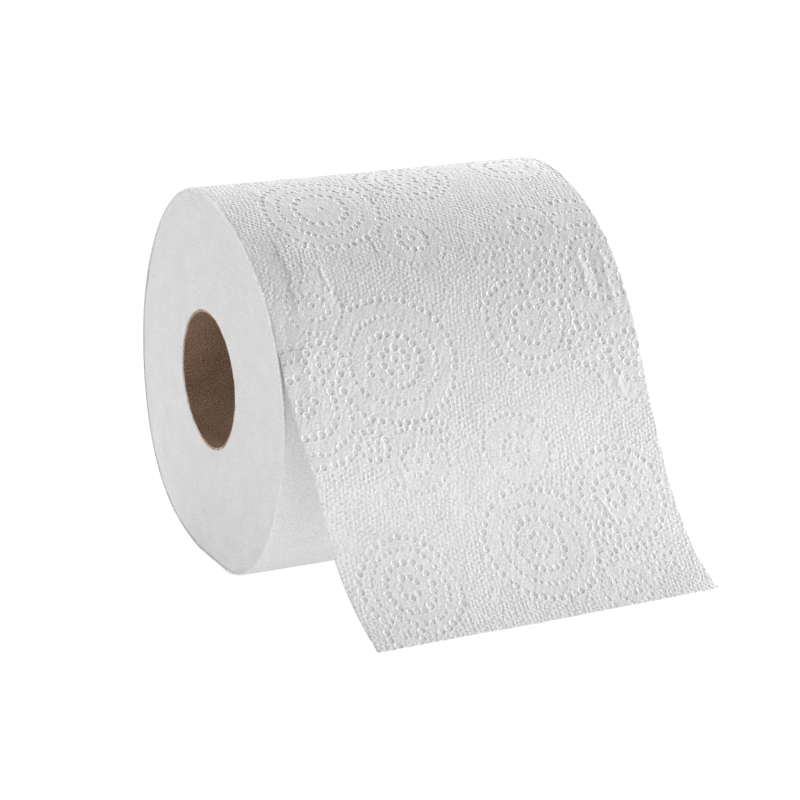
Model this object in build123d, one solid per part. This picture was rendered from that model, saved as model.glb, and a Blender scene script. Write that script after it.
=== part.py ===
from build123d import *
import math
import os

# A roll of embossed two-ply bathroom tissue on its cardboard core, lying on its side.
# Millimetres and degrees. The origin is the middle of the core's bore, +X runs along the
# roll, -Y is the side where the loose sheet hangs, and +Z is up. Angles go round the
# core's axis from +Y, the back, over the top.

# Core
core_bore_diameter = 41.3
core_wall = 0.75
glue_gap = 0.1  # paper to core, all round

# Wound paper
roll_width = 114.3
winding_radius = 58.3
# A soft roll isn't round. The first wave goes round it once, the second twice and so on,
# and each has its own height and the angle where it crests.
wave_heights = (1.7, 0.59, 1.08, 0.76, 0.46, 0.26)
wave_crest_angles = (-102.0, -51.0, -42.0, -30.0, 23.0, 11.0)
flat_depth = 0.8  # how far the roll's own weight presses its lowest part flat

# Last turn of the sheet, loose over the top of the roll
sheet_thickness = 0.4  # two plies with the loft of their embossing
turn_gap = 0.25
full_turn_angle = 360.0
leave_angle = 164.0  # where the sheet leaves the roll
loose_angle = 84.0  # how far back from there the turn is loose
peel_angle = 24.0  # how far back from there it has begun to peel off
leave_lift = 1.95  # how far it has peeled off at the line where it leaves

# Hanging sheet. Each point is a share of the drop and of the reach, from the leaving line
# to the torn end.
hang_drift = 11.8  # how far the sheet has wandered sideways by its end
drift_power = 1.4
left_reach = 36.8
left_end_lift = 1.8  # above what the roll lies on
left_path_shares = ((0.23, 0.25), (0.39, 0.40), (0.61, 0.48), (0.78, 0.59), (0.95, 0.86))
right_reach = 31.7
right_end_lift = 0.5
right_path_shares = ((0.19, 0.14), (0.42, 0.26), (0.66, 0.41), (0.88, 0.66))
hang_sections = 7

# Edges of the turns, scored round both sawn ends
scored_turns = 9
score_width = 0.3
score_depth = 0.3
inner_land_width = 2.8  # from the bore to the first scored turn
outer_land_width = 2.8  # from the last scored turn to the outside

outline_arc_angle = 20.0  # of each arc in the roll's outline
score_corner_angle = 11.25  # between corners of the scored spiral

core_radius = core_bore_diameter / 2 + core_wall
paper_bore_radius = core_radius + glue_gap
turn_pitch = sheet_thickness + turn_gap
left_end = -roll_width / 2


def polar(radius, angle):
    """A point of the roll's cross-section, given round the core's axis."""
    turn = math.radians(angle)
    return (radius * math.cos(turn), radius * math.sin(turn))


def soft_radius(angle):
    """Radius of the squashed roll at an angle, to the outside of its last turn."""
    radius = winding_radius
    for count, (height, crest) in enumerate(zip(wave_heights, wave_crest_angles), start=1):
        radius += height * math.cos(count * math.radians(angle - crest))
    return radius


def peel(back):
    """How far the last turn stands off at an arc behind the leaving line."""
    return leave_lift * max(0.0, 1 - back / peel_angle) ** 2


def sheet_point(back, depth=0.0):
    """A point of the wound sheet at an arc behind the leaving line, depth under its outside."""
    angle = leave_angle - back
    radius = soft_radius(angle) - turn_pitch * back / full_turn_angle + peel(back) - depth
    return polar(radius, angle)


def steps(start, end, step):
    """Evenly spaced values from start to end, about a step apart."""
    count = max(2, round(abs(end - start) / step))
    return [start + (end - start) * i / count for i in range(count + 1)]


def sheet_arcs(start, end, depth=0.0):
    """The wound sheet from one arc behind the leaving line to another, as short round arcs."""
    backs = steps(start, end, outline_arc_angle)
    arcs = Curve()
    for back, ahead in zip(backs, backs[1:]):
        stops = (back, (back + ahead) / 2, ahead)
        arcs += ThreePointArc(*[sheet_point(stop, depth) for stop in stops])
    return arcs


def roll_section():
    """The wound paper's cross-section: one whole turn of the sheet, and the slit under its
    loose end, open at the leaving line."""
    winding = sheet_arcs(0, full_turn_angle + loose_angle)
    underside = sheet_arcs(loose_angle, 0, sheet_thickness)
    slit_root = Line(winding @ 1, underside @ 0)
    sheet_end = Line(underside @ 1, winding @ 0)
    section = make_face(winding + slit_root + underside + sheet_end)
    below = section.bounding_box().min.Y + flat_depth
    size = 4 * winding_radius
    pressed_off = Pos(0, below - size / 2) * Rectangle(size, size)
    return section - pressed_off - Circle(paper_bore_radius)


def score_section():
    """The spiral line that the turns' edges make on a sawn end."""
    spiral_angle = full_turn_angle * scored_turns

    def spiral_point(turned, side):
        """A point of the line's inner or outer side."""
        angle = leave_angle - turned
        outer = soft_radius(angle) - outer_land_width
        inner = paper_bore_radius + inner_land_width
        share = turned / spiral_angle
        return polar(outer + (inner - outer) * share + side * score_width / 2, angle)

    turned = steps(0, spiral_angle, score_corner_angle)
    outer_side = [spiral_point(t, 1) for t in turned]
    inner_side = [spiral_point(t, -1) for t in reversed(turned)]
    return make_face(Polyline(*outer_side, *inner_side, close=True))


def hang_edge(side, floor, reach, end_lift, path_shares):
    """One side edge of the hanging sheet's outside, from the roll to its torn corner.
    side is -1 for the left edge and 1 for the right."""
    start_y, start_z = sheet_point(0)
    before_y, before_z = sheet_point(1)
    drop = start_z - floor - end_lift

    def edge_point(down, out):
        """A point of the edge, from its shares of the drop and of the reach."""
        drift = hang_drift * down**drift_power
        return (side * roll_width / 2 + drift, start_y - reach * out, start_z - drop * down)

    points = [edge_point(down, out) for down, out in ((0, 0), *path_shares, (1, 1))]
    leaving = Vector(0, start_y - before_y, start_z - before_z)
    arriving = Vector(*points[-1]) - Vector(*points[-2])
    return Spline(*points, tangents=(leaving.normalized(), arriving.normalized()))


def hanging_sheet(floor):
    """The sheet's free length, lofted between its two edges."""
    left = hang_edge(-1, floor, left_reach, left_end_lift, left_path_shares)
    right = hang_edge(1, floor, right_reach, right_end_lift, right_path_shares)
    sections = []
    for i in range(hang_sections):
        along = i / (hang_sections - 1)
        across = right @ along - left @ along
        run = left % along + right % along
        inward = across.cross(run).normalized() * sheet_thickness
        if i == 0:
            top = sheet_point(0)
            under = sheet_point(0, sheet_thickness)
            inward = Vector(0, under[0] - top[0], under[1] - top[1])
        corners = (left @ along, right @ along, right @ along + inward, left @ along + inward)
        sections.append(make_face(Polyline(*corners, close=True)))
    return loft(sections)


def make_tissue():
    """The wound paper and the sheet that hangs from it, one strip and so one solid."""
    section = roll_section()
    floor = section.bounding_box().min.Y
    roll = extrude(Plane.YZ.offset(left_end) * section, amount=roll_width)
    score = score_section()
    for end, into in ((left_end, 1), (-left_end, -1)):
        roll -= extrude(Plane.YZ.offset(end) * score, amount=into * score_depth)
    return roll + hanging_sheet(floor)


def make_core():
    """The cardboard tube that the paper is wound on."""
    ring = Circle(core_radius) - Circle(core_bore_diameter / 2)
    return extrude(Plane.YZ.offset(left_end) * ring, amount=roll_width)


os.makedirs("parts", exist_ok=True)
export_step(make_tissue(), "parts/tissue.step")
export_step(make_core(), "parts/core.step")
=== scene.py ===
import math

import bpy
import numpy as np
from mathutils import Matrix, Vector


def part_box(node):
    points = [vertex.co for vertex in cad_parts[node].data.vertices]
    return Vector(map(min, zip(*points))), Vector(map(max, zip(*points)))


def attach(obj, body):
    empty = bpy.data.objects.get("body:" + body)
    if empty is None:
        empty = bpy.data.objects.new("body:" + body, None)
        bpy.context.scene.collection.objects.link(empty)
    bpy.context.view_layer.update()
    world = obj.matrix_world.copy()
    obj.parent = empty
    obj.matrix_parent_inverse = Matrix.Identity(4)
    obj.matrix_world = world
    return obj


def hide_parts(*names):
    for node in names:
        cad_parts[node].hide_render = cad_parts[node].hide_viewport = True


# A soft roll of embossed two-ply bathroom tissue lying on its side, its loose end draped
# down the front. Lengths are millimetres until a mesh is made, which is in metres. Angles
# are degrees round the core's axis from +Y, the back, over the top. A place on the sheet is
# its run, measured along the sheet from the torn end, and how far across it is from the
# sheet's middle.

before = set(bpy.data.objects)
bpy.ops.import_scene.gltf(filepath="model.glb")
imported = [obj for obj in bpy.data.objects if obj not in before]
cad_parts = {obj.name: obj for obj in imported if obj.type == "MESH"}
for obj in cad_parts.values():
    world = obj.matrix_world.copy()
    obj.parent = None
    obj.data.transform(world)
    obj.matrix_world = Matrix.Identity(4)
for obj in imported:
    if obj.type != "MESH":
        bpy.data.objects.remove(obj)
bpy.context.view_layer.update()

metre = 0.001

# The roll's form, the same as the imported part's
roll_width = 114.3
core_bore_radius = 20.65
core_radius = 21.4
winding_radius = 58.3
wave_heights = (1.7, 0.59, 1.08, 0.76, 0.46, 0.26)
wave_crest_angles = (-102.0, -51.0, -42.0, -30.0, 23.0, 11.0)
sheet_thickness = 0.4
turn_gap = 0.25
turn_pitch = sheet_thickness + turn_gap
leave_angle = 164.0
loose_angle = 84.0
peel_angle = 24.0
leave_lift = 1.95
floor_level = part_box("tissue")[0].z / metre
# How far the loose turn's left edge is drawn in, at distances behind the leaving line, and
# how far across the sheet that is felt
inset_places = (-14, 0, 5, 12, 22, 34, 50, 76, 92, 118)
left_insets = (0, 0.3, 0.4, 0.6, 0.55, 0.5, 0.45, 0.4, 0.3, 0)
inset_reach = 6.0
# The sheet is thinner at its cut edges, and its outside falls off there
edge_thinning = 0.5
edge_thinning_reach = 0.6
edge_fall = 0.11
edge_fall_reach = 0.2
# The loose turn's left edge stays nearer the roll than the rest, and the edge of the turn
# below comes up beside it
held_share = 0.85
held_reach = 4.0
below_rise = 0.58
below_reach = (1.1, 0.4)
# Angles behind the leaving line, over which the hold sets in and over which the sheet comes
# under its own loose turn
held_angles = (0, 9)
tucked_angles = (330, 362)

# The hanging sheet's two edges, as shares of the drop and of the reach
hang_drift = 11.8
drift_power = 1.4
left_reach = 36.8
left_end_lift = 1.8
left_path = ((0, 0), (0.23, 0.25), (0.39, 0.40), (0.61, 0.48), (0.78, 0.59), (0.95, 0.86), (1, 1))
right_reach = 31.7
right_end_lift = 0.5
right_path = ((0, 0), (0.19, 0.14), (0.42, 0.26), (0.66, 0.41), (0.88, 0.66), (1, 1))

# Embossing. Rings of pressed dots make the medallions, and finer dots fill the ground. Each
# dot's stray is how far it is off its place, and its force how hard it is pressed.
large_dot = {"width": 1.95, "pitch": 2.65, "depth": 0.31, "stray": 0.17, "force": (0.6, 1.2)}
small_dot = {"width": 1.45, "pitch": 2.1, "depth": 0.26, "stray": 0.15, "force": (0.55, 1.2)}
ground_dot = {"width": 1.08, "pitch": 1.52, "depth": 0.18, "stray": 0.12, "force": (0.4, 1.2)}
dot_width_spread = (0.86, 1.12)
# A dot is a cup with a low lip round it, as shares of the dot's depth. The cup's wall and
# the lip's place and width are shares of the dot's width.
cup_share = 0.65
cup_wall = (0.36, 0.6)
lip_share = 0.15
lip_place = 0.66
lip_width = 0.1
# Each medallion: across, run, its rings of small dots and its rings of large dots. Where
# two of them meet, the one named first is whole.
medallions = (
    (-47, 4.8, (1.2,), (5.4,)),
    (29.5, 6, (2.2, 5.5, 9.8), ()),
    (43.5, 14, (1.8, 4.5), ()),
    (29, 22.5, (1.6,), (4.6,)),
    (-14.5, 61.5, (0.1, 2.9), ()),
    (-37, 60.5, (1.8,), (4.6,)),
    (39.5, 81, (2.6,), (6.0,)),
    (-44.5, 85.3, (2.6,), (6.1,)),
    (-43.5, 102, (4.1, 8.4), (0.6,)),
    (18.8, 111, (2.0, 4.4, 7.6), ()),
    (32, 104, (1.6,), (4.6, 9.0)),
    (-24.5, 54, (4.6, 9.6), (0.1,)),
    (8, 53, (4.5, 10.8), (0.1,)),
    (7.4, 24, (3.5, 12.6), (8.0, 17.4)),
    (-38.5, 18, (11.4,), (3.0, 7.5, 15.0)),
    (37, 34.5, (12.0,), (3.0, 7.8, 15.8)),
    (-22.8, 84, (13.3,), (0.1, 3.9, 8.1, 19.0)),
    (23, 89, (10.4,), (0.1, 5.6, 14.5)),
    (-52.6, 73.5, (13.4,), (2.6, 8.7, 17.4)),
    (53.5, 76, (13.4,), (0.1, 3.2, 7.2)),
    (32, 121, (9.6,), (0.1, 4.1)),
    (-5.5, 122, (10.2,), (0.1, 4.6)),
    (50, 107.5, (8.8, 19.3), (4.2, 12.9, 24.0)),
    (-28, 138.8, (12.6,), (0.1, 7.5, 17.6)),
    (4.5, 153, (7.6, 14.2), (0.1, 4.4, 11.0)),
    (42.5, 156, (11.4,), (0.1, 6.5)),
    (-36, 172, (4.4, 9.2), (0.1,)),
    (17, 176, (2.2, 5.6), ()),
    (-9, 186, (3.4, 12.0), (7.6, 16.0)),
    (32, 187, (9.8,), (0.1, 5.2)),
    (-42, 196, (10.4,), (2.6, 6.6)),
    (52, 176, (2.0, 5.2), ()),
    (14, 203, (4.6, 9.6), (0.1,)),
)
pattern_repeat = 214.0
medallion_gap = 1.1  # from one medallion's last ring to another's dots
ground_gap = 1.5  # from a medallion's last ring to the ground's dots
ground_slant = 21.0
# The ground is pressed unevenly from place to place
ground_press = 0.85
ground_press_spread = 0.35
ground_press_size = 11.0
# How the pattern is pulled out of true: over what cells, how far, and seeds for both ways
pattern_pulls = ((12.0, 0.8, (35, 37)), (4.0, 0.25, (36, 38)))
# Soft swells of the whole sheet: cell, height and seed
swells = ((17.0, 0.1, 41), (6.0, 0.07, 42))
# Fine wrinkles run at a slant to the sheet's length, and are longer than they are wide
wrinkle_slant = 32.0
wrinkle_width = 0.95
wrinkle_stretch = 3.5
wrinkle_height = 0.045
crumb_size = 1.9
crumb_height = 0.03
hanging_swell_size = 31.0
hanging_swell_height = 0.5
hanging_swell_set_in = 0.8  # as a share of the hanging length
# How much of the pattern is kept at angles behind the leaving line. It is strongest where
# the sheet hangs, and weak where the roll's own turns press it.
kept_angles = (0, 20, 50, 150, 200, 250, 290, 330, 444)
kept_shares = (0.95, 0.8, 0.72, 0.72, 0.6, 0.4, 0.25, 0.2, 0.2)
# The perforation's little tabs at the torn end
tab_pitch = 2.6
tab_height = 0.16
tab_reach = 2.5
tab_wander = 0.8  # radians off an even row
tab_wander_size = 9.0
torn_height = 0.10
torn_size = 0.9
# Worn places where the ground is hardly pressed: across, run and their half sizes
plain_places = (
    (-50.7, 115, 2.1, 14.0),
    (-53.6, 96, 4.4, 9.0),
    (-37, 106, 1.6, 5.0),
    (-53, 33, 4.0, 3.0),
    (27, 60, 3.0, 2.0),
)
plain_fade = (0.75, 1.15)  # over which they end, in their half sizes
plain_loss = 0.85
# Soft creases: across and run at both ends, then how wide and how high
creases = (
    (-44.0, 96, -42.5, 134, 6.0, 0.60),
    (-47.8, 96, -47.0, 132, 0.9, 0.20),
    (-54.0, 88, -52.8, 101, 2.4, -0.25),
    (-37.6, 110, -34.2, 99, 1.4, -0.2),
    (-38.8, 118, -36.4, 104, 0.7, 0.22),
    (-19.4, 126, -17.0, 115, 0.5, 0.16),
    (45.4, 95, 45.1, 113, 0.9, 0.22),
    (48.3, 94, 48.7, 113, 1.1, -0.2),
    (52.7, 87, 52.1, 115, 1.1, 0.2),
    (45.4, 75, 48.6, 63, 1.1, 0.2),
    (30.4, 36, 35.2, 24, 0.5, 0.20),
    (24.0, 14, 24.4, 4, 0.7, 0.16),
    (-49.6, 92, -50.8, 78, 1.4, 0.22),
    (-31.5, 55, -29.0, 46, 0.8, 0.15),
    (-40.0, 142, -43.5, 158, 1.0, 0.18),
    (56.0, 140, 54.0, 165, 1.4, -0.25),
)
crease_wanders = ((0.5, 4.3), (0.25, 1.7))  # how far, and over what length
crease_fade = 0.3  # at each end, as a share of the crease

# Mesh steps across and along the sheet, how much coarser its underside is and how far the
# steps crowd towards its left edge
fine_steps = {"across": 462, "run": 0.237, "under": 3, "crowding": 1.0}
rear_steps = {"across": 160, "run": 0.75, "under": 8, "crowding": 1.0}
lower_steps = {"across": 96, "run": 1.0, "under": 8, "crowding": 1.6}
slope_step = 0.08  # over which slopes are measured
rear_angle = 234.0  # behind the leaving line, where the rear length ends
uv_unit = 100.0  # millimetres of sheet in one unit of its UV map

# The sawn ends: how far they lie inside the sheet's edges, how they are rounded where they
# end, and their streaks along the turns, as cell, number round the end, depth and seed
end_inset = 0.24
outer_rounding = 0.16
outer_rounding_reach = 0.3
bore_rounding = 0.12
bore_rounding_reach = 0.2
bore_gap = 0.02
bore_waviness = 0.02
end_streaks = ((1.0, 130, 0.07, 62), (0.7, 34, 0.06, 63), (2.6, 46, 0.05, 64))
streak_depth = 36.0  # from the bore to the outside, in the streaks' own scale
streak_radius = 40.0
end_wave_size = 23.0
end_wave_depth = 0.20
outer_step_power = 30  # how closely the last turn's step keeps to the outside

# The core's spiral seam, with one ply's edge beside its groove
seam_lead = 150.0
seam_start = 0.1  # as a share of a turn
seam_slant = 0.75  # how much of a distance round the bore is square to the seam
seam_groove_depth = 0.12
seam_groove_width = 0.5
seam_ply_height = 0.10
seam_ply_rise = (-1.5, 0.2)
seam_ply_fall = (9, 0)
core_roughness = 0.06
core_roughness_size = 5.0
# Its cut ends, which flare a little at the bore and are crowned
core_shortfall = 0.1
cut_depth = 0.5
cut_raggedness = 0.6
cut_wave = 0.18
cut_fray = 0.1
cut_noise_radius = 7  # of the ring that their noise is read on
cut_steepness = 20
cut_crown = 0.1
flare = 0.1
flare_reach = 0.4


def soft_radius(angle):
    """Radius of the squashed roll at an angle, to the outside of its last turn."""
    radius = winding_radius
    for count, (height, crest) in enumerate(zip(wave_heights, wave_crest_angles), start=1):
        radius = radius + height * np.cos(count * np.radians(angle - crest))
    return radius


def smooth_step(low, high, value):
    """0 below low, 1 above high and an easy curve between them."""
    share = np.clip((value - low) / (high - low), 0, 1)
    return share * share * (3 - 2 * share)


def soft_floor(z, level, ease=0.08):
    """Heights kept above a level, bent gently where they meet it."""
    return level + ease * np.logaddexp(0, (z - level) / ease)


def peel(back):
    """How far the last turn stands off at an arc behind the line where it leaves the roll."""
    return leave_lift * np.maximum(0, 1 - back / peel_angle) ** 2


def wound_point(back, depth=0.0):
    """y and z of the wound sheet at an arc behind the leaving line."""
    angle = leave_angle - back
    radius = soft_radius(angle) - turn_pitch * back / 360 + peel(back) - depth
    turn = np.radians(angle)
    return radius * np.cos(turn), soft_floor(radius * np.sin(turn), floor_level + depth)


def through(points, at, leaving):
    """A smooth line through a few points, from a given direction: each coordinate at a share
    of its length."""
    points = np.array(points, float)
    chords = np.linalg.norm(np.diff(points, axis=0), axis=1)
    knots = np.concatenate([[0], np.cumsum(chords)]) / chords.sum()
    slopes = np.gradient(points, knots, axis=0, edge_order=2)
    slopes[0] = np.linalg.norm(slopes[0]) * leaving
    place = np.clip(np.searchsorted(knots, at, side="right") - 1, 0, len(knots) - 2)
    span = (knots[place + 1] - knots[place])[..., None]
    t = (at - knots[place])[..., None] / span
    start, end = points[place], points[place + 1]
    leaving, arriving = slopes[place] * span, slopes[place + 1] * span
    return (
        (2 * t**3 - 3 * t**2 + 1) * start
        + (t**3 - 2 * t**2 + t) * leaving
        + (3 * t**2 - 2 * t**3) * end
        + (t**3 - t**2) * arriving
    )


def edge_points(side, reach, end_lift, path):
    """The points of one edge of the hanging sheet, from the roll to its torn corner."""
    start_y, start_z = wound_point(np.array(0.0))
    drop = start_z - floor_level - end_lift
    points = []
    for down, out in path:
        x = side * roll_width / 2 + hang_drift * down**drift_power
        points.append((x, start_y - reach * out, start_z - drop * down))
    return points


# Runs along the wound sheet, tabled once so that a run gives its place round the roll
table_back = np.linspace(0, 360 + loose_angle, 4441)
table_y, table_z = wound_point(table_back)
table_run = np.concatenate([[0], np.cumsum(np.hypot(np.diff(table_y), np.diff(table_z)))])
last_step = np.array([0.0, table_y[0] - table_y[1], table_z[0] - table_z[1]])
leaving_way = last_step / np.linalg.norm(last_step)
left_edge = edge_points(-1, left_reach, left_end_lift, left_path)
right_edge = edge_points(1, right_reach, right_end_lift, right_path)
edge_shares = np.linspace(0, 1, 400)
left_line = through(left_edge, edge_shares, leaving_way)
hang_length = float(np.linalg.norm(np.diff(left_line, axis=0), axis=1).sum())


def back_of(run):
    """The arc behind the leaving line that a run comes to."""
    return np.interp(run - hang_length, table_run, table_back)


def run_of(back):
    """The run at an arc behind the leaving line."""
    return hang_length + np.interp(back, table_back, table_run)


def base_surface(run, across):
    """Points of the plain sheet's outside."""
    inset = np.interp(run - hang_length, inset_places, left_insets)
    across = across + inset * np.exp(-(across + roll_width / 2) / inset_reach)
    share = (across / roll_width + 0.5)[..., None]
    down = 1 - np.clip(run / hang_length, 0, 1)
    left, right = through(left_edge, down, leaving_way), through(right_edge, down, leaving_way)
    hanging = left * (1 - share) + right * share
    back = np.maximum(run - hang_length, 0)
    y, z = wound_point(np.interp(back, table_run, table_back))
    wound = np.stack([across + 0 * y, y, z], -1)
    return np.where((run < hang_length)[..., None], hanging, wound)


def value_noise(u, v, cell, seed, wrap=97):
    """Smooth random heights between -1 and 1, with bumps about a cell apart. Along v they
    come round again after a number of cells."""
    size = 97
    table = np.random.default_rng(seed).uniform(-1, 1, (size, max(size, wrap)))
    u, v = np.broadcast_arrays(u / cell, v / cell)
    i, j = np.floor(u).astype(int), np.floor(v).astype(int)
    a, b = u - i, v - j
    a, b = a * a * (3 - 2 * a), b * b * (3 - 2 * b)
    low = table[i % size, j % wrap] * (1 - b) + table[i % size, (j + 1) % wrap] * b
    high = table[(i + 1) % size, j % wrap] * (1 - b) + table[(i + 1) % size, (j + 1) % wrap] * b
    return low * (1 - a) + high * a


def turn_noise(out, angle, cell, around, seed):
    """Smooth random heights on a disc, with a number of bumps in each turn."""
    return value_noise(out, angle / (2 * math.pi) * around * cell, cell, seed, around)


def every_medallion():
    """The medallions along the whole sheet. Each repeat is the mirror image of the last."""
    for repeat in range(1 + int(run_of(360 + loose_angle) / pattern_repeat)):
        side = -1 if repeat % 2 else 1
        for across, run, small, large in medallions:
            middle = np.array([side * across, run + repeat * pattern_repeat])
            yield middle, small, large


def warp(places):
    """How far the pattern has been pulled out of true, across and along the sheet."""
    across, run = places[:, 0], places[:, 1]
    pulled = np.zeros(places.shape)
    for cell, reach, seeds in pattern_pulls:
        pulled += reach * np.stack([value_noise(run, across, cell, seed) for seed in seeds], 1)
    return pulled


def press(places, dot, rng):
    """Dots at given places: each one's place, width and depth."""
    count = len(places)
    places = places + warp(places) + rng.normal(0, dot["stray"], (count, 2))
    width = dot["width"] * rng.uniform(*dot_width_spread, count)
    depth = dot["depth"] * rng.uniform(*dot["force"], count)
    return np.column_stack([places, width, depth])


def ring_places(middle, ring_radius, pitch, rng):
    """Places evenly round a ring, from a random start."""
    count = max(1, round(2 * math.pi * ring_radius / pitch))
    turn = (rng.uniform() + np.arange(count)) * 2 * math.pi / count
    return middle + ring_radius * np.stack([np.cos(turn), np.sin(turn)], 1)


def ground_places(last_run):
    """Places of the fine dots over the whole sheet, in slanting rows."""
    pitch = ground_dot["pitch"]
    row_pitch = pitch * math.sqrt(3) / 2
    turn = math.radians(ground_slant)
    reach = last_run + roll_width
    rows = np.arange(-int(reach / row_pitch), int(reach / row_pitch))
    columns = np.arange(-int(reach / pitch), int(reach / pitch))
    row, column = np.meshgrid(rows, columns, indexing="ij")
    u, v = (column + (row % 2) / 2) * pitch, row * row_pitch
    across = u * math.cos(turn) - v * math.sin(turn)
    run = u * math.sin(turn) + v * math.cos(turn)
    kept = (np.abs(across) < roll_width / 2 + 1) & (run > -1) & (run < last_run + 1)
    return np.stack([across[kept], run[kept]], 1)


def lay_dots():
    """Every pressed dot of the sheet, in the order of their runs."""
    rng = np.random.default_rng(33)
    dots, discs = [], []
    for middle, small, large in every_medallion():
        for dot, radii in ((small_dot, small), (large_dot, large)):
            for ring_radius in radii:
                places = ring_places(middle, ring_radius, dot["pitch"], rng)
                for other, outer in discs:
                    places = places[np.hypot(*(places - other).T) > outer + medallion_gap]
                dots.append(press(places, dot, rng))
        discs.append((middle, max(small + large)))
    ground = ground_places(run_of(360 + loose_angle))
    for middle, outer in discs:
        ground = ground[np.hypot(*(ground - middle).T) > outer + ground_gap]
    ground = press(ground, ground_dot, rng)
    across, run = ground[:, 0], ground[:, 1]
    unevenly = ground_press + ground_press_spread * value_noise(run, across, ground_press_size, 34)
    ground[:, 3] *= unevenly * (1 - plain_loss * plain_share(run, across))
    dots = np.concatenate([*dots, ground])
    return dots[np.argsort(dots[:, 1])]


def plain_share(run, across):
    """How much of the ground's pressing is lost in the worn places."""
    share = np.zeros(run.shape)
    for middle_across, middle_run, half_across, half_run in plain_places:
        far = np.hypot((across - middle_across) / half_across, (run - middle_run) / half_run)
        share = np.maximum(share, 1 - smooth_step(*plain_fade, far))
    return share


def crease_height(run, across):
    """Height of the soft creases. Each fades out towards both of its ends."""
    height = np.zeros(run.shape)
    for across_a, run_a, across_b, run_b, width, rise in creases:
        length = math.hypot(across_b - across_a, run_b - run_a)
        toward_across, toward_run = (across_b - across_a) / length, (run_b - run_a) / length
        along = (across - across_a) * toward_across + (run - run_a) * toward_run
        off = (across - across_a) * toward_run - (run - run_a) * toward_across
        for reach, stretch in crease_wanders:
            off = off + reach * np.sin(along / stretch)
        share = along / length
        fade = smooth_step(0, crease_fade, share) * smooth_step(1, 1 - crease_fade, share)
        height += rise * fade * np.exp(-((off / width) ** 2))
    return height


def nearest_dot(run, across):
    """How far the nearest pressed dot is, in its own widths up to 1, and how deep it is."""
    near, depth = np.ones(run.shape), np.zeros(run.shape)
    row_runs, column_acrosses = run[:, 0], across[0]
    slack = 0.6  # the torn end's runs are drawn back a little
    reach = 3.0
    first, last = np.searchsorted(all_dots[:, 1], (row_runs[0] - reach, row_runs[-1] + reach))
    for dot_across, dot_run, width, dot_depth in all_dots[first:last]:
        top, bottom = np.searchsorted(row_runs, (dot_run - width - slack, dot_run + width + slack))
        left, right = np.searchsorted(column_acrosses, (dot_across - width, dot_across + width))
        window = (slice(top, bottom), slice(left, right))
        distance = np.hypot(run[window] - dot_run, across[window] - dot_across) / width
        closer = distance < near[window]
        near[window][closer] = distance[closer]
        depth[window][closer] = dot_depth
    return near, depth


def emboss_strength(run):
    """How much of the pattern is kept at a run."""
    return np.interp(back_of(run), kept_angles, kept_shares)


def below_loose(run):
    """How far the sheet has come under its own loose turn, from 0 to 1."""
    return smooth_step(*tucked_angles, back_of(run))


def brought_up(run, across):
    """How far the left edge under the loose turn comes up beside it."""
    return below_rise * below_loose(run) * smooth_step(*below_reach, across + roll_width / 2)


def held_down(run, across):
    """How much nearer the roll the loose turn's left edge stays."""
    back = back_of(run)
    from_left = across + roll_width / 2
    hold = held_share * peel(back) * smooth_step(*held_angles, back)
    return hold * np.exp(-from_left / held_reach)


def wrinkles(run, across):
    """Height of the fine wrinkles."""
    slant = math.radians(wrinkle_slant)
    beside = across * math.cos(slant) - run * math.sin(slant)
    along = across * math.sin(slant) + run * math.cos(slant)
    return wrinkle_height * value_noise(beside, along / wrinkle_stretch, wrinkle_width, 43)


def relief(run, across):
    """Height of the sheet's outside over the plain form, and its marks: how far the nearest
    pressed dot is, in its own widths, how deep that dot is and how much texture is kept."""
    near, depth = nearest_dot(run, across)
    strength = emboss_strength(run)
    depth = depth * strength
    cup = cup_share * (1 - smooth_step(*cup_wall, near))
    lip = lip_share * np.exp(-(((near - lip_place) / lip_width) ** 2))
    height = crease_height(run, across) + wrinkles(run, across)
    for cell, rise, seed in swells:
        height += rise * value_noise(run, across, cell, seed)
    height = height * strength - depth * (cup - lip)
    height += crumb_height * value_noise(run, across, crumb_size, 45)
    hanging = smooth_step(0, hanging_swell_set_in, 1 - run / hang_length)
    height += hanging_swell_height * hanging * value_noise(run, across, hanging_swell_size, 44)
    height += brought_up(run, across) - held_down(run, across)
    from_edge = roll_width / 2 - np.abs(across)
    height -= edge_fall * (1 - below_loose(run)) * np.exp(-from_edge / edge_fall_reach)
    return height, np.stack([near, depth, strength + 0 * near], -1)


def torn_run(run, across):
    """Runs near the torn end, drawn back between the perforation's little tabs."""
    wander = tab_wander * value_noise(across, 0 * across, tab_wander_size, 51)
    tab = 0.5 + 0.5 * np.cos(2 * math.pi * across / tab_pitch + wander)
    torn = torn_height * (1 + value_noise(across, 0 * across, torn_size, 52))
    ragged = tab_height * (1 - tab**2) + torn
    return run + ragged * np.maximum(0, 1 - run / tab_reach)


def unit(vectors):
    """The same vectors at length 1."""
    return vectors / np.linalg.norm(vectors, axis=-1, keepdims=True)


def grid_faces(rows, columns):
    """Four-sided faces over a grid of points, facing away from the roll."""
    first = np.arange(rows - 1)[:, None] * columns + np.arange(columns - 1)[None, :]
    return np.stack([first, first + 1, first + columns + 1, first + columns], -1).reshape(-1, 4)


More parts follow.
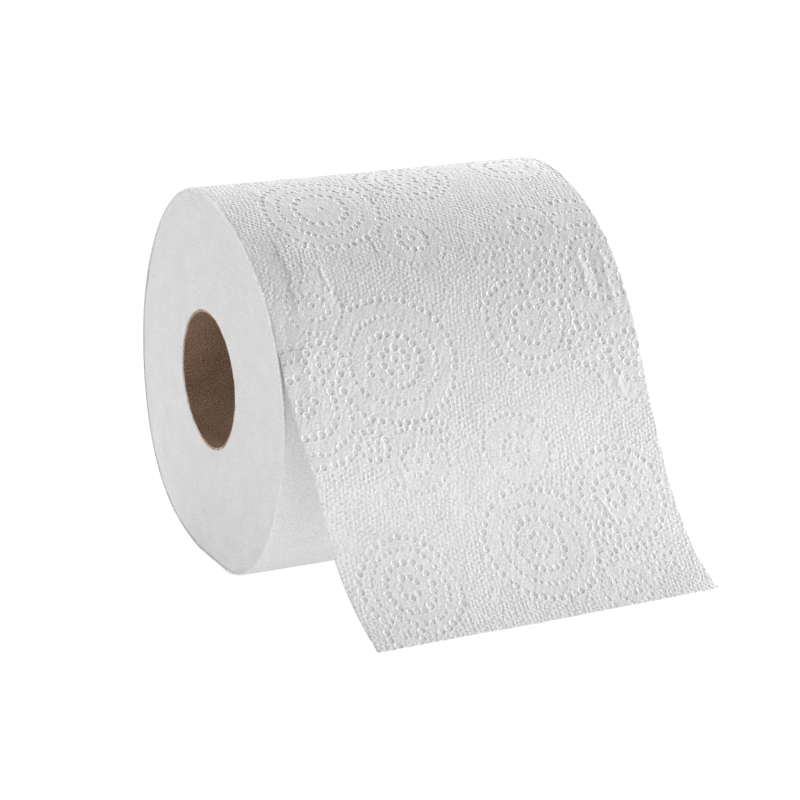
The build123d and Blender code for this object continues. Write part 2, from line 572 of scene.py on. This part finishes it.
class Skin:
    """Points, faces, shading normals, sheet places and marks gathered for one piece."""

    def __init__(self):
        self.points, self.normals, self.places, self.marks, self.faces = [], [], [], [], []
        self.count = 0

    def add(self, points, faces, normals, places, marks=(0.0, 0.0, 0.0)):
        """Adds points and the faces between them, numbered from their own first point."""
        points = np.reshape(points, (-1, 3))
        self.points.append(points)
        self.normals.append(np.broadcast_to(np.reshape(normals, (-1, 3)), points.shape))
        self.places.append(np.reshape(places, (-1, 2)))
        self.marks.append(np.broadcast_to(np.reshape(marks, (-1, 3)), points.shape))
        self.faces += (np.asarray(faces) + self.count).tolist()
        self.count += len(points)

    def piece(self, name, material, node):
        """The finished object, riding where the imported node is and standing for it."""
        mesh = bpy.data.meshes.new(name)
        mesh.from_pydata((np.concatenate(self.points) * metre).tolist(), [], self.faces)
        layer = mesh.uv_layers.new(name="sheet")
        corners = np.zeros(len(mesh.loops), np.int32)
        mesh.loops.foreach_get("vertex_index", corners)
        places = np.concatenate(self.places)[corners] / uv_unit
        layer.data.foreach_set("uv", places.astype(np.float32).ravel())
        marks = mesh.attributes.new("marks", "FLOAT_VECTOR", "POINT")
        marks.data.foreach_set("vector", np.concatenate(self.marks).astype(np.float32).ravel())
        mesh.shade_smooth()
        mesh.normals_split_custom_set_from_vertices(unit(np.concatenate(self.normals)).tolist())
        mesh.materials.append(material)
        obj = bpy.data.objects.new(name, mesh)
        bpy.context.scene.collection.objects.link(obj)
        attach(obj, "root")
        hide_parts(node)
        return obj


def rim_strip(skin, outer, inner, outward, places):
    """A narrow wall between a fine line of points and a coarser one beside it."""
    ratio = (len(outer) - 1) // (len(inner) - 1)
    faces = []
    for j in range(len(inner) - 1):
        near, far = len(outer) + j, len(outer) + j + 1
        for m in range(ratio):
            first = j * ratio + m
            faces.append((first, first + 1, near if 2 * m < ratio else far))
        faces.append((near, j * ratio + ratio // 2 + ratio % 2, far))
    points = np.concatenate([outer, inner])
    a, b, c = (points[k] for k in faces[0])
    if np.dot(np.cross(b - a, c - a), outward[0]) < 0:
        faces = [face[::-1] for face in faces]
    beside = np.round(np.linspace(0, 1, len(inner)) * (len(outer) - 1)).astype(int)
    normals = np.concatenate([outward, outward[beside]])
    skin.add(points, faces, normals, np.concatenate([places, places[beside]]))


def sheet_length(name, first_run, last_run, steps, material, torn=False):
    """A closed length of the sheet: its embossed outside, its underside and its edges."""
    across_steps, under_ratio = steps["across"], steps["under"]
    rows = under_ratio * max(1, round((last_run - first_run) / steps["run"] / under_ratio))
    runs = np.linspace(first_run, last_run, rows + 1)
    shares = (np.arange(across_steps + 1) / across_steps) ** steps["crowding"]
    acrosses = roll_width * (shares - 0.5)
    run, across = np.meshgrid(runs, acrosses, indexing="ij")
    if torn:
        run = torn_run(run, across)
    step = slope_step
    along = unit(base_surface(run + step, across) - base_surface(run - step, across))
    aside = unit(base_surface(run, across + step) - base_surface(run, across - step))
    up = unit(np.cross(aside, along))
    height, marks = relief(run, across)
    outside = base_surface(run, across) + up * height[..., None]
    rise_run = (relief(run + step, across)[0] - height) / step
    rise_across = (relief(run, across + step)[0] - height) / step
    normals = unit(up - along * rise_run[..., None] - aside * rise_across[..., None])
    places = np.stack([across, run], -1)
    skin = Skin()
    skin.add(outside, grid_faces(*run.shape), normals, places, marks)
    coarse = (slice(None, None, under_ratio), slice(None, None, under_ratio))
    from_edge = np.minimum(roll_width / 2 - np.abs(across), run if torn else roll_width)
    thinning = edge_thinning * smooth_step(loose_angle + 6, loose_angle, back_of(run))
    thickness = sheet_thickness * (1 - thinning * np.exp(-from_edge / edge_thinning_reach))
    thickness += brought_up(run, across)
    under = outside[coarse] - up[coarse] * thickness[coarse][..., None]
    under_faces = grid_faces(*run[coarse].shape)[:, ::-1]
    skin.add(under, under_faces, -normals[coarse], places[coarse], marks[coarse] * (1, -0.7, 1))
    rim_strip(skin, outside[:, 0], under[:, 0], -aside[:, 0], places[:, 0])
    rim_strip(skin, outside[:, -1], under[:, -1], aside[:, -1], places[:, -1])
    rim_strip(skin, outside[0], under[0], -along[0], places[0])
    rim_strip(skin, outside[-1], under[-1], along[-1], places[-1])
    return skin.piece(name, material, "tissue")


def wound_turns(material):
    """The close-wound turns: both sawn ends, the bore and the roll under its outer turn."""
    angular, radial = 400, 58
    backs = loose_angle + 360 * np.arange(angular + 1) / angular
    shares = np.arange(radial + 1) / radial
    shares -= 0.12 * np.sin(2 * math.pi * shares)  # closer at the bore and at the outside
    back, share = np.meshgrid(backs, shares, indexing="ij")
    y, z = wound_point(back, sheet_thickness)
    outline = np.hypot(y, z)
    round_outline = outline + turn_pitch * ((back - loose_angle) / 360 - 0.5)
    angle = np.arctan2(z, y)
    bore = core_radius + bore_gap + bore_waviness * turn_noise(0 * angle, angle, 1.0, 40, 61)
    radius = bore + (round_outline - bore) * share
    radius += (outline - round_outline) * share**outer_step_power
    end_y, end_z = radius * np.cos(angle), radius * np.sin(angle)
    out = share * streak_depth
    into = end_inset + np.zeros(out.shape)
    for cell, around, depth, seed in end_streaks:
        into += depth * turn_noise(out, angle, cell, around, seed)
    into += end_wave_depth * value_noise(end_y, end_z, end_wave_size, 65)
    into += outer_rounding * np.exp(-(outline - radius) / outer_rounding_reach)
    into += bore_rounding * np.exp(-(radius - bore) / bore_rounding_reach)
    turns = np.stack([out, streak_radius * np.cos(angle), streak_radius * np.sin(angle)], -1)
    skin = Skin()
    ends = []
    for side in (-1, 1):
        x = side * (roll_width / 2 - into)
        points = np.stack([x, end_y, end_z], -1)
        slope_back = np.gradient(points, axis=0)
        slope_back[0] = slope_back[-1] = (slope_back[0] + slope_back[-1]) / 2
        normals = unit(np.cross(slope_back, np.gradient(points, axis=1)))
        normals *= side * np.sign(np.mean(normals[..., 0]))
        faces = grid_faces(*back.shape)
        skin.add(points, faces if side < 0 else faces[:, ::-1], normals, points[..., 1:], turns)
        ends.append(points)
    for column, outward in ((0, -1), (-1, 1)):
        points = np.stack([ends[0][:, column], ends[1][:, column]], 1)
        normals = outward * unit(points * (0, 1, 1))
        faces = grid_faces(len(points), 2)
        faces = faces[:, ::-1] if outward < 0 else faces
        places = np.stack([points[..., 0], backs[:, None] + 0 * points[..., 0]], -1)
        skin.add(points, faces, normals, places)
    seam = np.array([ends[0][0, -1], ends[1][0, -1], ends[1][-1, -1], ends[0][-1, -1]])
    skin.add(seam, [(0, 1, 2, 3)], np.array([[0.0, -1.0, 0.0]]), np.zeros((4, 2)))
    return skin.piece("wound_turns", material, "tissue")


def core_tube(material):
    """The cardboard core, a spiral-wound tube with its seam and its roughly cut ends."""
    angular, lengthwise = 240, 58
    angles = 2 * math.pi * np.arange(angular + 1) / angular
    lengths = np.linspace(-0.5, 0.5, lengthwise + 1)
    angle, length = np.meshgrid(angles, lengths, indexing="ij")
    u, v = cut_noise_radius * np.cos(angle), cut_noise_radius * np.sin(angle)
    wander = cut_wave * value_noise(u, v, 1.3, 71) + cut_fray * value_noise(5 * u, 5 * v, 1.0, 72)
    cut = (cut_raggedness * wander - cut_depth) * np.abs(2 * length) ** cut_steepness
    x = length * (roll_width - core_shortfall) + np.sign(length) * cut
    seam_place = (angle / (2 * math.pi) - x / seam_lead + seam_start) % 1 - 0.5
    seam = seam_place * 2 * math.pi * core_bore_radius * seam_slant
    groove = seam_groove_depth * np.exp(-((seam / seam_groove_width) ** 2))
    ply = seam_ply_height * smooth_step(*seam_ply_rise, seam) * smooth_step(*seam_ply_fall, seam)
    bore = core_bore_radius + groove - ply
    bore += core_roughness * value_noise(x, angle * 20, core_roughness_size, 73)
    bore += flare * np.exp(-(roll_width / 2 - np.abs(x)) / flare_reach)
    outside = core_radius + 0 * bore
    skin = Skin()
    for radius, inward in ((bore, -1), (outside, 1)):
        points = np.stack([x, radius * np.cos(angle), radius * np.sin(angle)], -1)
        slope_round = np.roll(points, -1, 0) - np.roll(points, 1, 0)
        slope_round[0] = slope_round[-1] = points[1] - points[-2]
        slope_long = np.gradient(points, axis=1)
        normals = unit(np.cross(slope_round, slope_long))
        facing = np.sign(np.sum(normals * points * (0, 1, 1), -1, keepdims=True))
        normals = normals * facing * inward
        faces = grid_faces(*angle.shape)
        faces = faces if inward < 0 else faces[:, ::-1]
        skin.add(points, faces, normals, np.stack([x, angle * core_radius], -1))
    for column, side in ((0, -1), (-1, 1)):
        circles = []
        for radius in (bore, (bore + outside) / 2, outside):
            r = radius[:, column]
            circles.append(np.stack([x[:, column], r * np.cos(angles), r * np.sin(angles)], -1))
        ring = np.stack(circles, 1)
        ring[:, 1, 0] += side * cut_crown
        faces = grid_faces(angular + 1, 3)
        faces = faces if side > 0 else faces[:, ::-1]
        places = np.stack([ring[..., 0] + 5, np.repeat(angles[:, None] * core_radius, 3, 1)], -1)
        skin.add(ring, faces, np.array([side, 0.0, 0.0]), places, np.array([1.0, 0.0, 0.0]))
    return skin.piece("core_tube", material, "core")


def new_material(name, roughness, specular):
    """A material with one Principled shader, its nodes and a way to link them."""
    material = bpy.data.materials.new(name)
    material.use_nodes = True
    nodes, links = material.node_tree.nodes, material.node_tree.links
    shader = nodes["Principled BSDF"]
    shader.inputs["Roughness"].default_value = roughness
    shader.inputs["Specular IOR Level"].default_value = specular
    return material, nodes, links, shader


def sheet_places(nodes, links, scale, turn=0.0):
    """The sheet's own coordinates, turned and then stretched by a scale."""
    places = nodes.new("ShaderNodeUVMap")
    places.uv_map = "sheet"
    turned = nodes.new("ShaderNodeVectorRotate")
    turned.inputs["Angle"].default_value = math.radians(turn)
    links.new(places.outputs["UV"], turned.inputs["Vector"])
    mapping = nodes.new("ShaderNodeMapping")
    mapping.inputs["Scale"].default_value = scale
    links.new(turned.outputs["Vector"], mapping.inputs["Vector"])
    return mapping.outputs["Vector"]


def noise(nodes, links, vector, scale, detail=3.0, roughness=0.55):
    """A noise texture's value on a vector."""
    texture = nodes.new("ShaderNodeTexNoise")
    texture.inputs["Scale"].default_value = scale
    texture.inputs["Detail"].default_value = detail
    texture.inputs["Roughness"].default_value = roughness
    links.new(vector, texture.inputs["Vector"])
    return texture.outputs["Fac"]


def ramp(nodes, links, value, stops):
    """Colours blended along a value."""
    blend = nodes.new("ShaderNodeValToRGB")
    elements = blend.color_ramp.elements
    elements[0].position, elements[0].color = stops[0][0], (*stops[0][1], 1)
    elements[1].position, elements[1].color = stops[-1][0], (*stops[-1][1], 1)
    for position, colour in stops[1:-1]:
        element = elements.new(position)
        element.color = (*colour, 1)
    links.new(value, blend.inputs["Fac"])
    return blend.outputs["Color"]


def mix_colours(nodes, links, share, first, second, blend_type="MIX"):
    """Two colours mixed by a share, each a colour or another node's output."""
    mix = nodes.new("ShaderNodeMix")
    mix.data_type = "RGBA"
    mix.blend_type = blend_type
    for socket, value in (("Factor", share), ("A", first), ("B", second)):
        target = next(s for s in mix.inputs if s.name == socket and s.enabled)
        if isinstance(value, bpy.types.NodeSocket):
            links.new(value, target)
        elif socket == "Factor":
            target.default_value = value
        else:
            target.default_value = (*value, 1)
    return next(s for s in mix.outputs if s.enabled)


def bump(nodes, links, height, strength, distance, normal=None):
    """A bumped normal from a height."""
    node = nodes.new("ShaderNodeBump")
    if isinstance(strength, bpy.types.NodeSocket):
        links.new(strength, node.inputs["Strength"])
    else:
        node.inputs["Strength"].default_value = strength
    node.inputs["Distance"].default_value = distance
    links.new(height, node.inputs["Height"])
    if normal is not None:
        links.new(normal, node.inputs["Normal"])
    return node.outputs["Normal"]


def maths(nodes, links, operation, first, second):
    """One sum on two values, each a number or another node's output."""
    node = nodes.new("ShaderNodeMath")
    node.operation = operation
    for socket, value in zip(node.inputs, (first, second)):
        if isinstance(value, bpy.types.NodeSocket):
            links.new(value, socket)
        else:
            socket.default_value = value
    return node.outputs[0]


def read_marks(nodes, links):
    """The three values that a piece's marks hold."""
    marks = nodes.new("ShaderNodeAttribute")
    marks.attribute_name = "marks"
    parts = nodes.new("ShaderNodeSeparateXYZ")
    links.new(marks.outputs["Vector"], parts.inputs[0])
    return marks.outputs["Vector"], parts.outputs


def grey(value):
    """A neutral colour."""
    return (value, value, value)


def sheet_material():
    """Embossed tissue: soft white fibres, cloudy formation, fine creping across and the
    crisp edges of the pressed dots, with painted shade darkening the dots' floors."""
    material, nodes, links, shader = new_material("tissue_sheet", 0.95, 0.2)
    flat = sheet_places(nodes, links, (uv_unit, uv_unit, 1))
    cloud = noise(nodes, links, flat, 0.16, 4.0, 0.6)
    fibre = noise(nodes, links, sheet_places(nodes, links, (75, 190, 1)), 1.0, 2.0, 0.6)
    fuzz = noise(nodes, links, flat, 1.5, 2.0, 0.6)
    clouded = ramp(nodes, links, cloud, ((0.3, (0.88, 0.88, 0.885)), (0.7, (0.92, 0.92, 0.93))))
    fibred = ramp(nodes, links, fibre, ((0.4, grey(0.905)), (0.6, grey(1.0))))
    fuzzed = ramp(nodes, links, fuzz, ((0.4, grey(0.905)), (0.6, grey(1.0))))
    paper = mix_colours(nodes, links, 1.0, clouded, fibred, "MULTIPLY")
    paper = mix_colours(nodes, links, 1.0, paper, fuzzed, "MULTIPLY")
    _, (near, depth, kept) = read_marks(nodes, links)
    # Painted shade: each pressed dot's floor is darkened towards grey, more for deeper dots,
    # standing in for the shadow its walls cast into it.
    painted_shade_mask = ramp(nodes, links, near, ((0.36, grey(1.0)), (0.52, grey(0.0))))
    painted_shade_depth = maths(nodes, links, "MULTIPLY", depth, 0.42)
    shade = maths(nodes, links, "MULTIPLY", painted_shade_mask, painted_shade_depth)
    paper_with_painted_shade = mix_colours(nodes, links, shade, paper, (0.66, 0.66, 0.67))
    links.new(paper_with_painted_shade, shader.inputs["Base Color"])
    level, rim = 0.7, 1.0
    stops = ((0.44, grey(0.0)), (0.6, grey(rim)), (0.72, grey(level)), (0.85, grey(level)))
    edge = maths(nodes, links, "SUBTRACT", ramp(nodes, links, near, stops), level)
    normal = bump(nodes, links, maths(nodes, links, "MULTIPLY", edge, depth), 1.0, 0.36 * metre)
    slanting = sheet_places(nodes, links, (120, 40, 1), wrinkle_slant)
    wrinkle = noise(nodes, links, slanting, 1.0, 2.0, 0.6)
    normal = bump(nodes, links, wrinkle, kept, 0.2 * metre, normal)
    creping = noise(nodes, links, sheet_places(nodes, links, (55, 150, 1)), 1.0, 2.0, 0.6)
    normal = bump(nodes, links, creping, kept, 0.15 * metre, normal)
    links.new(bump(nodes, links, fuzz, 1.0, 0.15 * metre, normal), shader.inputs["Normal"])
    return material


def sawn_material():
    """The sawn ends of the turns: hundreds of edges, streaked along the turns."""
    material, nodes, links, shader = new_material("tissue_sawn_end", 0.97, 0.15)
    turns, _ = read_marks(nodes, links)

    def along_turns(scale):
        """The place on the end, stretched along the turns."""
        mapping = nodes.new("ShaderNodeMapping")
        mapping.inputs["Scale"].default_value = scale
        links.new(turns, mapping.inputs["Vector"])
        return mapping.outputs["Vector"]

    flat = sheet_places(nodes, links, (uv_unit, uv_unit, 1))
    streak = noise(nodes, links, along_turns((2.6, 0.10, 0.10)), 1.0, 3.0, 0.6)
    thread = noise(nodes, links, along_turns((1.3, 0.6, 0.6)), 1.0, 4.0, 0.65)
    speck = noise(nodes, links, flat, 1.5, 2.0, 0.6)
    cloud = noise(nodes, links, flat, 0.12, 3.0, 0.55)
    clouded = ramp(nodes, links, cloud, ((0.3, grey(0.81)), (0.7, grey(0.86))))
    streaked = ramp(nodes, links, streak, ((0.3, grey(0.955)), (0.65, grey(1.0))))
    specked = ramp(nodes, links, speck, ((0.38, grey(0.895)), (0.6, grey(1.0))))
    paper = mix_colours(nodes, links, 1.0, clouded, streaked, "MULTIPLY")
    paper = mix_colours(nodes, links, 1.0, paper, specked, "MULTIPLY")
    links.new(paper, shader.inputs["Base Color"])
    normal = bump(nodes, links, streak, 0.5, 0.15 * metre)
    normal = bump(nodes, links, thread, 0.7, 0.26 * metre, normal)
    links.new(bump(nodes, links, speck, 1.0, 0.22 * metre, normal), shader.inputs["Normal"])
    return material


def board_material():
    """Unbleached kraft board: brown, flecked with darker and lighter fibres."""
    material, nodes, links, shader = new_material("core_kraft", 0.88, 0.25)
    flat = sheet_places(nodes, links, (uv_unit, uv_unit, 1))
    cloud = noise(nodes, links, flat, 0.12, 4.0, 0.6)
    fleck = noise(nodes, links, flat, 2.1, 2.0, 0.6)
    fibre = noise(nodes, links, sheet_places(nodes, links, (60, 200, 1)), 1.0, 4.0, 0.65)
    clouded = ramp(nodes, links, cloud, ((0.3, (0.23, 0.148, 0.10)), (0.7, (0.31, 0.208, 0.142))))
    dark, light = (0.5, 0.48, 0.46), (1.8, 1.75, 1.7)
    stops = ((0.34, dark), (0.46, grey(0.93)), (0.54, grey(1.1)), (0.66, light))
    flecked = ramp(nodes, links, fleck, stops)
    board = mix_colours(nodes, links, 1.0, clouded, flecked, "MULTIPLY")
    _, (cut, _, _) = read_marks(nodes, links)
    torn = noise(nodes, links, flat, 0.45, 2.0, 0.6)
    cut_board = ramp(nodes, links, torn, ((0.4, (0.36, 0.24, 0.175)), (0.6, (0.6, 0.44, 0.34))))
    links.new(mix_colours(nodes, links, cut, board, cut_board), shader.inputs["Base Color"])
    normal = bump(nodes, links, fibre, 0.6, 0.14 * metre)
    links.new(bump(nodes, links, fleck, 0.6, 0.12 * metre, normal), shader.inputs["Normal"])
    return material


def make_pieces():
    """The paper's pieces and the core. The sheet is one strip, parted here only to keep each
    mesh small."""
    sheet, sawn, board = sheet_material(), sawn_material(), board_material()
    half_hang = hang_length / 2
    loose_end = run_of(loose_angle)
    half_loose = (hang_length + loose_end) / 2
    rear_end = run_of(rear_angle)
    lengths = (
        ("hanging_sheet_end", 0, half_hang, fine_steps),
        ("hanging_sheet_top", half_hang, hang_length, fine_steps),
        ("loose_turn_front", hang_length, half_loose, fine_steps),
        ("loose_turn_top", half_loose, loose_end, fine_steps),
        ("outer_turn_rear", loose_end, rear_end, rear_steps),
        ("outer_turn_lower", rear_end, run_of(360 + loose_angle), lower_steps),
    )
    for name, first, last, steps in lengths:
        sheet_length(name, first, last, steps, sheet, first == 0)
    wound_turns(sawn)
    core_tube(board)


def by_camera(nodes, links, unseen, seen):
    """One value where light only bounces off a surface, and another where it is seen."""
    path = nodes.new("ShaderNodeLightPath")
    value = nodes.new("ShaderNodeMapRange")
    value.inputs["To Min"].default_value = unseen
    value.inputs["To Max"].default_value = seen
    links.new(path.outputs["Is Camera Ray"], value.inputs["Value"])
    return value.outputs["Result"]


def make_floor():
    """A pale floor that shows as white and keeps a soft shadow."""
    half = 1.0
    z = floor_level * metre - 0.0001
    mesh = bpy.data.meshes.new("floor")
    corners = [(-half, -half, z), (half, -half, z), (half, half, z), (-half, half, z)]
    mesh.from_pydata(corners, [], [(0, 1, 2, 3)])
    material = bpy.data.materials.new("floor_white")
    material.use_nodes = True
    nodes, links = material.node_tree.nodes, material.node_tree.links
    nodes.clear()
    output = nodes.new("ShaderNodeOutputMaterial")
    lit = nodes.new("ShaderNodeBsdfDiffuse")
    white = nodes.new("ShaderNodeEmission")
    both = nodes.new("ShaderNodeAddShader")
    links.new(by_camera(nodes, links, 0.8, 0.12), lit.inputs["Color"])
    links.new(by_camera(nodes, links, 0.35, 0.95), white.inputs["Strength"])
    links.new(lit.outputs[0], both.inputs[0])
    links.new(white.outputs[0], both.inputs[1])
    links.new(both.outputs[0], output.inputs["Surface"])
    mesh.materials.append(material)
    floor = bpy.data.objects.new("floor", mesh)
    bpy.context.scene.collection.objects.link(floor)


def aim(obj, place, target):
    """Puts a lamp or camera at a place, looking at a target, both in metres."""
    direction = (Vector(target) - Vector(place)).normalized()
    turn = direction.to_track_quat("-Z", "Y").to_matrix().to_4x4()
    obj.matrix_world = Matrix.Translation(place) @ turn


def area_lamp(name, place, size, power, target=(0.0, 0.0, 0.0)):
    """A soft square lamp aimed at the roll."""
    light = bpy.data.lights.new(name, "AREA")
    light.shape = "SQUARE"
    light.size = size
    light.energy = power
    lamp = bpy.data.objects.new(name, light)
    bpy.context.scene.collection.objects.link(lamp)
    aim(lamp, place, target)


def make_light():
    """Plain soft studio light and a white surround."""
    area_lamp("right", (1.05, -0.1, 0.35), 0.2, 13.6)
    area_lamp("back_top", (0.35, 0.75, 0.7), 0.3, 7.9)
    area_lamp("back_left", (-0.4, 0.85, 0.4), 0.3, 3.9)
    area_lamp("left", (-1.2, -0.05, 0.15), 0.7, 1.7)
    area_lamp("left_front", (-0.8, -0.9, 0.0), 0.6, 2.1)
    area_lamp("left_near", (-0.3, -0.32, -0.02), 0.07, 0.19, (-0.03, -0.03, -0.04))
    area_lamp("front_low", (0.25, -1.1, 0.05), 0.7, 3.1)
    world = bpy.data.worlds.new("surround")
    world.use_nodes = True
    nodes, links = world.node_tree.nodes, world.node_tree.links
    nodes.clear()
    output = nodes.new("ShaderNodeOutputWorld")
    background = nodes.new("ShaderNodeBackground")
    background.inputs["Color"].default_value = (1, 1, 1, 1)
    links.new(by_camera(nodes, links, 0.13, 1.0), background.inputs["Strength"])
    links.new(background.outputs[0], output.inputs["Surface"])
    bpy.context.scene.world = world


def make_camera():
    """The photograph's view: a long lens from the front left, a little above."""
    place = (-307.21, -650.02, 197.83)
    yaw, pitch = 25.82, 16.384
    camera = bpy.data.cameras.new("camera")
    camera.sensor_width = 36
    camera.lens = 108
    camera.clip_start = 0.05
    obj = bpy.data.objects.new("camera", camera)
    bpy.context.scene.collection.objects.link(obj)
    obj.location = [c * metre for c in place]
    obj.rotation_euler = (math.radians(90 - pitch), 0, math.radians(-yaw))
    bpy.context.scene.camera = obj


make_camera()
all_dots = lay_dots()
make_pieces()
make_floor()
make_light()
bpy.context.scene.view_settings.view_transform = "Standard"
